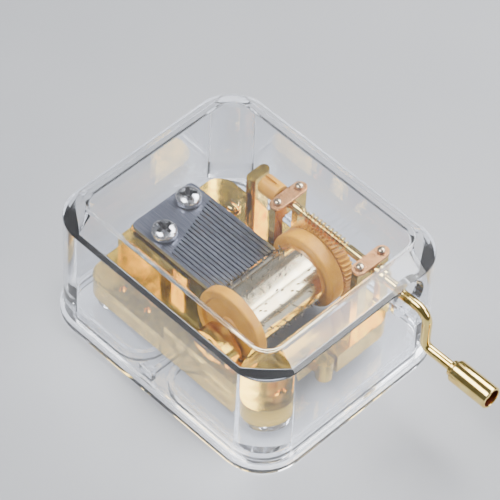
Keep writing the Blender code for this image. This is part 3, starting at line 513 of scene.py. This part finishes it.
def amber_plastic():
    look = Finish("amber_plastic")
    look.set(IOR=1.52, Specular_IOR_Level=0.3, Subsurface_Weight=0.05,
             Subsurface_Scale=0.001, Subsurface_Radius=(1.0, 0.5, 0.1))
    look.colour(look.noise(280, 5), (0.3, (0.37, 0.155, 0.0005)), (0.55, (0.48, 0.22, 0.001)),
                (0.75, (0.57, 0.285, 0.002)))
    look.gloss(look.noise(900, 3), 0.30, 0.48)
    look.bump(look.noise(1300, 3), 0.02, 0.5)
    return look.mat


def copper_clip():
    look = Finish("copper_clip", 1.0)
    look.colour(look.noise(600, 4), (0.3, (0.55, 0.25, 0.085)), (0.7, (0.74, 0.38, 0.16)))
    look.gloss(look.noise(1800, 4, (1, 5, 1)), 0.24, 0.38)
    look.bump(look.noise(1900, 3, (1, 5, 1)), 0.003, 0.5)
    return look.mat


def dark_liner():
    look = Finish("knob_liner", 0.6)
    look.colour(look.noise(1200, 3), (0.3, (0.07, 0.012, 0.008)), (0.7, (0.17, 0.035, 0.02)))
    look.gloss(look.noise(1500, 3), 0.25, 0.45)
    return look.mat


def pale_floor():
    look = Finish("floor")
    look.colour(look.noise(14, 2), (0.3, (0.36, 0.37, 0.395)), (0.7, (0.39, 0.40, 0.42)))
    look.gloss(look.noise(50, 3), 0.50, 0.62)
    return look.mat


CLEAR = clear_case()
GILT = gilt_casting()
BRASS = polished_brass()
DRUM = cylinder_brass()
COMB = comb_steel()
STEEL = bright_steel()
RIVET = rivet_brass()
# Painted shade for the screws' cross recesses.
RECESS_SHADE = recess_shade_steel()
PIN = pin_steel()
AMBER = amber_plastic()
COPPER = copper_clip()
LINER = dark_liner()


# ---------------------------------------------------------------- case

def case_ring(inset, z, flat=0.0):
    """The lid's outline, moved inwards by an inset, at a height.

    flat pulls the corners' arcs towards straight lines across them.
    """
    low, high = box("lid")
    corner = max(CASE_CORNER_R - inset, CASE_LEAST_CORNER_R)
    steps = CASE_CORNER_STEPS
    outline = rounded_rect(low.x + inset, high.x - inset, low.y + inset, high.y - inset,
                           corner, steps)
    ring = []
    for i, (x, y) in enumerate(outline):
        first = i - i % (steps + 1)
        start, end = Vector(outline[first]), Vector(outline[first + steps])
        across = start.lerp(end, (i - first) / steps)
        spot = Vector((x, y)).lerp(across, flat)
        ring.append((spot.x, spot.y, z))
    return ring


def shell_profiles(foot, top):
    """Outer and inner (inset, height) lines up a wall, over its facet to the flat top."""
    turn = math.radians(45)
    shoulder_z = top - CASE_CHAMFER - CASE_EDGE_R * math.sin(turn)
    outer = [(0.0, foot)]
    steps = 6
    for i in range(steps + 1):
        angle = turn * i / steps
        outer.append((CASE_DRAFT + CASE_EDGE_R * (1 - math.cos(angle)),
                      shoulder_z + CASE_EDGE_R * math.sin(angle)))
    facet_u, facet_z = outer[-1]
    ridge = (facet_u + CASE_CHAMFER, top)
    flat = (ridge[0] + CASE_TOP_RUN, top)
    outer += soft_corner([outer[-1], ridge, flat], 1, CASE_RIDGE_R)
    offset = facet_u - facet_z + CASE_WALL * math.sqrt(2)
    wall_u = CASE_DRAFT + CASE_WALL
    ceiling = top - CASE_WALL
    lines = [(CASE_WALL, foot), (wall_u, wall_u - offset), (ceiling + offset, ceiling),
             (ceiling + offset + CASE_TOP_RUN, ceiling)]
    slope = (wall_u - CASE_WALL) / (lines[1][1] - foot)
    foot_lines = [(CASE_WALL + slope * (z - foot), z) for z in THICK_CORNER_Z]
    inner = lines[:1] + foot_lines
    inner += soft_corner(lines, 1, CASE_RIDGE_R) + soft_corner(lines, 2, CASE_RIDGE_R)
    return outer, inner


def corner_fill(z, top):
    """How far the inside of an upright corner is filled in, at a height."""
    ceiling = top - CASE_WALL
    lower, upper = THICK_CORNER_Z
    rise = (z - lower) / (upper - lower)
    fade = (ceiling - z) / THICK_CORNER_FADE
    return min(max(min(rise, fade), 0.0), 1.0)


def make_lid():
    low, high = box("lid")
    outer, inner = shell_profiles(low.z, high.z)
    rings = [case_ring(u, z, corner_fill(z, high.z)) for u, z in inner[::-1]]
    rings += [case_ring(u, z) for u, z in outer]
    lid = place("case_lid", loft(rings), CLEAR, "case", 12)
    hole = circle(SHAFT_Y, SHAFT_Z, CRANK_HOLE_R, 64)
    wall_x = high.x - CASE_WALL - CASE_DRAFT
    cut(lid, "hole", prism(hole, wall_x - HOLE_OVERRUN, high.x + CUT_OVERRUN, on_x))
    x0, x1 = LATCH_POCKET_X
    for side in (-1, 1):
        wall = side * (high.y - CASE_WALL)
        mouth = wall - side * CUT_OVERRUN
        back = wall + side * LATCH_POCKET_DEPTH
        pocket = [(x0, mouth), (x1, mouth), (x1, back), (x0, back)]
        cut(lid, "pocket", prism(pocket, *LATCH_POCKET_Z))
    weigh_normals(lid, True)
    settle(lid)
    lid.visible_shadow = False
    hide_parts("lid")


def make_tray():
    tray = refined("case_tray", "base_tray", CLEAR, "case", TRAY_EDGE_R, 2)
    tray.visible_shadow = False


# ---------------------------------------------------------------- movement

def make_casting():
    refined("bedplate_cast", "bedplate", GILT, "case", 0.22, 3)


def make_comb():
    refined("comb_plate", "comb", COMB, "case", 0.05, 2)


def make_comb_screw(number, turn):
    node = f"comb_screw_{number}"
    low, high = box(node)
    centre = ((low.x + high.x) / 2, (low.y + high.y) / 2)
    seat = high.z - SCREW_SIDE - SCREW_RISE
    dome = []
    steps = 12
    for i in range(steps + 1):
        angle = math.radians(90 * i / steps)
        dome.append((max(SCREW_R * math.cos(angle), SCREW_LEAST_R),
                     seat + SCREW_SIDE + SCREW_RISE * math.sin(angle)))
    profile = [(SCREW_SHANK_R, low.z), (SCREW_SHANK_R, seat), (SCREW_R - SCREW_EDGE, seat),
               (SCREW_R, seat + SCREW_EDGE)] + dome
    screw = place(f"comb_screw_head_{number}", turned(profile, centre, on_z, 72), STEEL,
                  "case", 30)
    for k in range(2):
        angle = math.radians(turn + 90 * k)
        along = Vector((math.cos(angle), math.sin(angle)))
        across = Vector((-along.y, along.x))
        rings = []
        # Slot of the cross: narrow at its bottom and flared above the head
        for reach, half, z in ((CROSS_REACH * 0.45, CROSS_HALF * 0.7, seat + 0.55),
                               (CROSS_REACH, CROSS_HALF, high.z - 0.45),
                               (CROSS_REACH * 1.12, CROSS_HALF * 1.2, high.z + 0.5)):
            corners = ((reach, half), (-reach, half), (-reach, -half), (reach, -half))
            spots = [Vector(centre) + along * u + across * v for u, v in corners]
            rings.append([(spot.x, spot.y, z + CROSS_STEP * k) for spot in spots])
        cut(screw, "cross", loft(rings))
    well = [(0.25, seat + 0.35), (0.95, high.z - 0.2), (1.05, high.z + 0.6)]
    cut(screw, "well", turned(well, centre, on_z, 24))
    # Painted shade: the recess faces under the dome get the dark material.
    paint_recess_shade(screw, centre, seat)
    screw.data.set_sharp_from_angle(angle=math.radians(30))
    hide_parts(node)


def paint_recess_shade(screw, centre, seat):
    """Give the faces that lie under the head's dome a dark material: painted shade in the recess.
    """
    screw.data.materials.append(RECESS_SHADE)
    for face in screw.data.polygons:
        spot = face.center / MM
        reach = math.hypot(spot.x - centre[0], spot.y - centre[1]) / SCREW_R
        dome = seat + SCREW_SIDE + SCREW_RISE * math.sqrt(max(1 - reach * reach, 0.0))
        if reach < 0.85 and seat + 0.1 < spot.z < dome - 0.06:
            face.material_index = 1


def make_drum():
    low, high = box("cylinder_drum")
    y0, y1 = low.y, high.y
    inner_r = DRUM_R - DRUM_WALL
    seam = math.radians(SEAM_ANGLE)
    half = SEAM_WIDTH / 2 / DRUM_R
    outline = []
    steps = 160
    for i in range(steps + 1):
        angle = seam + half + (2 * math.pi - 2 * half) * i / steps
        outline.append((DRUM_R, angle))
    outline += [(DRUM_R - SEAM_DEPTH, seam - half), (DRUM_R - SEAM_DEPTH, seam + half)]
    rings = []
    for y, shrink in ((y0, DRUM_EDGE), (y0 + DRUM_EDGE, 0.0), (y1 - DRUM_EDGE, 0.0),
                      (y1, DRUM_EDGE)):
        rings.append([(CYL_X + (r - shrink) * math.cos(a), y, CYL_Z + (r - shrink) * math.sin(a))
                      for r, a in outline])
    for y in (y1, y0):
        rings.append([(CYL_X + inner_r * math.cos(a), y, CYL_Z + inner_r * math.sin(a))
                      for r, a in outline])
    drum = place("music_drum", loft(rings, closed=True), DRUM, "cylinder", 30)
    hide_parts("cylinder_drum")


def pin_angle(tooth, beat):
    """A fixed, uneven pattern of pins that keeps clear of the seam."""
    square, along, across = PIN_PATTERN
    step = 360 / PINS_A_TOOTH
    scatter = tooth * tooth * square + beat * along + tooth * across
    turn = step * beat + scatter % (step - 2 * SEAM_CLEARANCE) + SEAM_CLEARANCE
    return math.radians(SEAM_ANGLE + turn)


def make_drum_pins():
    low, high = box("comb")
    pitch = (high.y - low.y - 2 * COMB_MARGIN) / COMB_TEETH
    bm = bmesh.new()
    for tooth in range(COMB_TEETH):
        y = low.y + COMB_MARGIN + (tooth + 0.5) * pitch
        for beat in range(PINS_A_TOOTH):
            add_pin(bm, y, pin_angle(tooth, beat))
    place("drum_pins", bm, PIN, "cylinder")


def add_pin(bm, y, angle):
    """A thin wire pin with a domed tip."""
    out = Vector((math.cos(angle), 0.0, math.sin(angle)))
    side = Vector((-out.z, 0.0, out.x))
    centre = Vector((CYL_X, y, CYL_Z))
    tip = DRUM_R + PIN_HEIGHT
    rings = []
    for radius, reach in ((PIN_R, DRUM_R - PIN_SINK), (PIN_R, tip - 0.12),
                          (PIN_R * 0.8, tip - 0.04), (PIN_R * 0.4, tip)):
        rings.append([centre + out * reach + side * u + Vector((0.0, v, 0.0))
                      for u, v in circle(0.0, 0.0, radius, 10)])
    add_loft(bm, rings)


def make_end_disc():
    low, high = box("cylinder_end_disc")
    y0 = low.y
    y1 = y0 + DISC_THICKNESS
    plug = DRUM_R - DRUM_WALL - RUN_GAP
    bore = AXLE_R + RUN_GAP
    profile = [(bore, y0), (HUB_R, y0), (HUB_R + 0.15, y0 + DISH), (DISH_R, y0 + DISH),
               (DISH_R + 0.3, y0), (DISC_R, y0), (DISC_R, y1), (plug, y1), (plug, high.y),
               (bore, high.y)]
    profile = softened(profile, (0.15, 0.2, 0.15, 0.15, 0.15, 0.5, 0.4, 0.1, 0.2, 0.1), closed=True)
    disc = place("drum_disc", turned(profile, (CYL_X, CYL_Z), on_y, 120, closed=True), AMBER,
                 "cylinder")
    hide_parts("cylinder_end_disc")


def wheel_ring(y, tip_r, root_r):
    """One outline of the wheel's teeth, turned to follow the worm's lead.

    The first tooth stands straight up, between two turns of the worm.
    """
    pitch_r = WHEEL_TEETH * WORM_PITCH / (2 * math.pi)
    lean = WORM_PITCH / (2 * math.pi * WORM_PITCH_R)
    twist = lean * (y - SHAFT_Y) / pitch_r
    half = ((TOOTH_FOOT, root_r), (TOOTH_CREST + 0.02, tip_r - 0.1), (TOOTH_CREST - 0.05, tip_r))
    flank = [(-width / pitch_r, radius) for width, radius in half]
    flank += [(-offset, radius) for offset, radius in flank[::-1]]
    points = []
    for i in range(WHEEL_TEETH):
        middle = 2 * math.pi * i / WHEEL_TEETH + twist
        for offset, radius in flank:
            angle = middle + offset
            points.append((CYL_X + radius * math.sin(angle), y, CYL_Z + radius * math.cos(angle)))
    return points


def make_wheel():
    low, high = box("worm_wheel")
    y1 = high.y
    flange_y0 = low.y + SPIGOT_LENGTH + RUN_GAP
    flange_y1 = flange_y0 + WHEEL_FLANGE
    bore = AXLE_R + RUN_GAP
    plug = DRUM_R - DRUM_WALL - RUN_GAP
    core = WHEEL_ROOT_R - WHEEL_RIM
    hub_y1 = y1 - WHEEL_DISH
    profile = [(bore, low.y), (plug, low.y), (plug, flange_y0), (DISC_R, flange_y0),
               (DISC_R, flange_y1), (core, flange_y1), (core, hub_y1), (bore, hub_y1)]
    profile = softened(profile, (0.1, 0.2, 0.1, 0.45, 0.35, 0.1, 0.1, 0.1), closed=True)
    wheel = place("worm_gear", turned(profile, (CYL_X, CYL_Z), on_y, 120, closed=True), AMBER,
                  "cylinder")
    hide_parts("worm_wheel")
    y0 = y1 - WHEEL_FACE
    rings = []
    for y, drop in ((y0, 0.1), (y0 + TOOTH_END, 0.0), (y1 - TOOTH_END, 0.0), (y1, 0.1)):
        rings.append(wheel_ring(y, WHEEL_TIP_R - drop, WHEEL_ROOT_R))
    inner = WHEEL_ROOT_R - TEETH_SINK
    rings += [wheel_ring(y1, inner, inner), wheel_ring(y0, inner, inner)]
    place("worm_gear_teeth", loft(rings, closed=True), AMBER, "cylinder")


# ---------------------------------------------------------------- shaft and crank

def thread_height(along):
    """Radius of the worm's surface at a distance from a thread's middle, as a rounded ridge."""
    offset = abs(along)
    if offset <= TOOTH_CREST:
        return WORM_TIP_R - WORM_CREST_DROP * (offset / TOOTH_CREST) ** 2
    if offset >= TOOTH_FOOT:
        return WORM_ROOT_R
    t = (offset - TOOTH_CREST) / (TOOTH_FOOT - TOOTH_CREST)
    shoulder = WORM_TIP_R - WORM_CREST_DROP
    return shoulder + (WORM_ROOT_R - shoulder) * t


def worm_ends():
    """Where the middles of the first and the last thread stand below the shaft."""
    middle = CYL_X + WORM_PITCH / 2
    reach = WORM_PITCH * (WORM_TURNS - 1) / 2
    return middle - reach, middle + reach


def make_worm():
    """The threads: a grid of points that climbs one pitch each turn."""
    around = 48
    across = 12
    first = worm_ends()[0]
    bm = bmesh.new()
    grid = []
    for i in range(around + 1):
        turn = i / around
        angle = math.radians(-90 + 360 * turn)
        row = []
        for j in range(WORM_TURNS * across + across + 1):
            thread, k = divmod(j, across)
            station = (k / across - 0.5) * WORM_PITCH
            full = 1.0
            if thread == 0:
                full = turn
            elif thread >= WORM_TURNS:
                full = 1 - turn
            radius = WORM_ROOT_R + full * (thread_height(station) - WORM_ROOT_R)
            along = first + WORM_PITCH * (thread - 0.5 + turn) + station
            row.append(bm.verts.new((along, SHAFT_Y + radius * math.cos(angle),
                                     SHAFT_Z + radius * math.sin(angle))))
        grid.append(row)
    for i in range(around):
        for j in range(len(grid[0]) - 1):
            bm.faces.new((grid[i][j], grid[i][j + 1], grid[i + 1][j + 1], grid[i + 1][j]))
    place("worm_thread", bm, BRASS, "crank")


def make_shaft():
    low, high = box("worm_shaft")
    first, last = worm_ends()
    worm_x0 = first - WORM_LEAD_IN
    worm_x1 = last + WORM_LEAD_OUT
    profile = [(SHAFT_END_R, low.x), (SHAFT_R, low.x), (SHAFT_R, worm_x0),
               (WORM_ROOT_R, worm_x0 + SHAFT_SHOULDER), (WORM_ROOT_R, worm_x1 - SHAFT_SHOULDER),
               (SHAFT_R, worm_x1), (SHAFT_R, high.x), (SHAFT_END_R, high.x)]
    profile = softened(profile, (0, 0.2, 0.12, 0.05, 0.05, 0.12, 0.15, 0))
    shaft = place("shaft_core", turned(profile, (SHAFT_Y, SHAFT_Z), on_x, 48), BRASS, "crank")
    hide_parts("worm_shaft")


def make_end_bush():
    low, high = box("shaft_end_bush")
    bore = SHAFT_R + RUN_GAP
    outer = (high.z - low.z) / 2
    profile = [(bore, low.x), (outer, low.x), (outer, high.x), (bore, high.x)]
    profile = softened(profile, (0.1, 0.35, 0.2, 0.1), closed=True)
    bush = place("end_bush", turned(profile, (SHAFT_Y, SHAFT_Z), on_x, 64, closed=True), AMBER,
                 "crank")
    y0, y1 = SHAFT_Y - BUSH_SLOT_HALF, SHAFT_Y + BUSH_SLOT_HALF
    z0, z1 = SHAFT_Z + bore + BUSH_SLOT_FLOOR, SHAFT_Z + outer + 1
    slot = [(y0, z0), (y1, z0), (y1, z1), (y0, z1)]
    cut(bush, "slot", prism(slot, low.x - 1, high.x - BUSH_SLOT_END, on_x))
    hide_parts("shaft_end_bush")


def make_collar():
    low, high = box("shaft_collar")
    outer = (high.z - low.z) / 2
    bore = ROD_R + RUN_GAP
    profile = [(bore, low.x), (outer, low.x), (outer, high.x), (bore, high.x)]
    profile = softened(profile, (0.08, 0.2, 0.2, 0.08), closed=True)
    collar = place("collar", turned(profile, (SHAFT_Y, SHAFT_Z), on_x, 64, closed=True), BRASS,
                   "crank")
    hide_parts("shaft_collar")


def make_rod():
    """The bent crank wire, swept along its centre line."""
    high = box("crank_rod")[1]
    start_x = box("worm_shaft")[1].x + REST_GAP
    arm_x = KNOB_X - KNOB_REACH
    points = [(start_x, SHAFT_Z), (start_x + 1, SHAFT_Z)]
    points += arc(arm_x - UPPER_BEND_R, SHAFT_Z - UPPER_BEND_R, UPPER_BEND_R, 90, 0, 20)
    points += arc(arm_x + LOWER_BEND_R, HANDLE_Z + LOWER_BEND_R, LOWER_BEND_R, 180, 270, 16)
    points += [(high.x - 1.0, HANDLE_Z), (high.x - HEAD_RISE + 0.02, HANDLE_Z)]
    line = [Vector((x, SHAFT_Y, z)) for x, z in points]
    side = Vector((0.0, 1.0, 0.0))
    rings = []
    for i, point in enumerate(line):
        along = (line[min(i + 1, len(line) - 1)] - line[max(i - 1, 0)]).normalized()
        up = side.cross(along)
        rings.append([point + side * u + up * v for u, v in circle(0.0, 0.0, ROD_R, 40)])
    rod = place("crank_wire", loft(rings), BRASS, "crank")
    head = [(0.05, high.x), (0.7, high.x - 0.08), (1.15, high.x - 0.3),
            (HEAD_R, high.x - 0.55), (HEAD_R, high.x - HEAD_RISE + 0.02),
            (0.05, high.x - HEAD_RISE)]
    place("crank_rivet", turned(head, (SHAFT_Y, HANDLE_Z), on_x, 48), BRASS, "crank")
    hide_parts("crank_rod")


def make_knob():
    low, high = box("crank_knob")
    bore = ROD_R + RUN_GAP
    barrel = low.x + KNOB_NECK
    floor = high.x - KNOB_CUP_DEPTH
    profile = [(bore, low.x), (KNOB_NECK_R, low.x), (KNOB_NECK_R, barrel),
               (KNOB_R, barrel), (KNOB_R, high.x), (KNOB_CUP_R, high.x), (KNOB_CUP_R, floor),
               (bore, floor)]
    profile = softened(profile, (0.1, 0.2, 0.08, 0.5, 0.3, 0.12, 0.1, 0.05), closed=True)
    knob = place("knob_barrel", turned(profile, (SHAFT_Y, HANDLE_Z), on_x, 96, closed=True),
                 BRASS, "knob", 50)
    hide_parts("crank_knob")
    cup = KNOB_CUP_R - LINER_GAP
    lip = high.x - LINER_INSET
    bed = floor + LINER_GAP
    top = bed + LINER_THICKNESS + LINER_GAP
    ring = [(LINER_R, bed), (cup, bed), (cup, lip), (cup - 0.08, lip),
            (cup - LINER_THICKNESS, top), (LINER_R, top)]
    place("knob_liner", turned(ring, (SHAFT_Y, HANDLE_Z), on_x, 64, closed=True), LINER, "knob")


# ---------------------------------------------------------------- small parts

def make_small_parts():
    for node in ("shaft_clip_inner", "shaft_clip_outer"):
        refined(node + "_strip", node, COPPER, "case", 0.12, 3)
    for number in range(1, 5):
        make_rivet(number)
    for number in range(1, 4):
        node = f"mounting_screw_{number}"
        refined(node + "_m2", node, STEEL, "case", 0.08, 2)
    refined("boss_screw_head", "boss_screw", BRASS, "case", 0.08, 2)
    refined("locating_peg", "locating_pin", STEEL, "case", 0.1, 3)
    refined("drum_axle", "cylinder_axle", STEEL, "cylinder", 0.06, 2)


def make_rivet(number):
    node = f"clip_rivet_{number}"
    low, high = box(node)
    centre = ((low.x + high.x) / 2, (low.y + high.y) / 2)
    radius = (high.x - low.x) / 2
    seat = high.z - RIVET_HEIGHT
    profile = [(RIVET_SHANK_R, low.z), (RIVET_SHANK_R, seat), (radius, seat)]
    steps = 7
    for i in range(steps + 1):
        angle = math.radians(88 * i / steps)
        rise = RIVET_SIDE + (RIVET_HEIGHT - RIVET_SIDE) * math.sin(angle)
        profile.append((radius * math.cos(angle), seat + rise))
    rivet = place(f"rivet_head_{number}", turned(profile, centre, on_z, 40), RIVET, "case")
    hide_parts(node)


# ---------------------------------------------------------------- stage

def make_floor():
    bm = bmesh.new()
    half = FLOOR_HALF
    for x, y in ((-half, -half), (half, -half), (half, half), (-half, half)):
        bm.verts.new((x, y, -FLOOR_DROP))
    bm.faces.new(bm.verts)
    floor = linked("floor", bm)
    floor.data.materials.append(pale_floor())


def seen_from(azimuth, elevation):
    """Unit vector from the object towards a place round it; angles in degrees."""
    a, e = math.radians(azimuth), math.radians(elevation)
    return Vector((math.sin(a) * math.cos(e), -math.cos(a) * math.cos(e), math.sin(e)))


def soft_light(name, azimuth, elevation, distance, width, height, power):
    """A rectangular studio light that faces the object; sizes in millimetres."""
    light = bpy.data.lights.new(name, "AREA")
    light.shape = "RECTANGLE"
    light.size = width * MM
    light.size_y = height * MM
    light.energy = power
    obj = bpy.data.objects.new(name, light)
    back = seen_from(azimuth, elevation)
    obj.location = (LIGHT_AIM + back * distance) * MM
    obj.rotation_mode = "QUATERNION"
    obj.rotation_quaternion = (-back).to_track_quat("-Z", "Y")
    bpy.context.scene.collection.objects.link(obj)


def make_lights():
    world = bpy.data.worlds.new("studio")
    world.use_nodes = True
    sky = world.node_tree.nodes["Background"]
    sky.inputs["Color"].default_value = (0.62, 0.66, 0.74, 1.0)
    sky.inputs["Strength"].default_value = 0.22
    bpy.context.scene.world = world
    soft_light("key", -25, 62, 420, 260, 200, 1.9)
    soft_light("rim", 172, 47, 460, 400, 230, 4.2)
    soft_light("side", 118, 30, 420, 130, 260, 1.0)


def make_camera():
    data = bpy.data.cameras.new("photo")
    data.lens = CAMERA_LENS
    data.sensor_width = 36.0
    data.clip_start = 0.01
    data.clip_end = 20.0
    azimuth, roll = math.radians(CAMERA_AZIMUTH), math.radians(CAMERA_ROLL)
    back = seen_from(CAMERA_AZIMUTH, CAMERA_ELEVATION)
    level = Vector((math.cos(azimuth), math.sin(azimuth), 0.0))
    up = back.cross(level)
    right = level * math.cos(roll) + up * math.sin(roll)
    rise = up * math.cos(roll) - level * math.sin(roll)
    stand = CAMERA_AIM + back * CAMERA_DISTANCE
    stand -= right * CAMERA_SLIDE[0] + rise * CAMERA_SLIDE[1]
    axes = Matrix((right, rise, back)).transposed().to_4x4()
    camera = bpy.data.objects.new("photo", data)
    camera.matrix_world = Matrix.Translation(stand * MM) @ axes
    bpy.context.scene.collection.objects.link(camera)
    bpy.context.scene.camera = camera


make_lid()
make_tray()
make_casting()
make_comb()
for screw_number in (1, 2):
    make_comb_screw(screw_number, 20 + 35 * screw_number)
make_drum()
make_drum_pins()
make_end_disc()
make_wheel()
make_worm()
make_shaft()
make_end_bush()
make_collar()
make_rod()
make_knob()
make_small_parts()
make_floor()
make_lights()
make_camera()
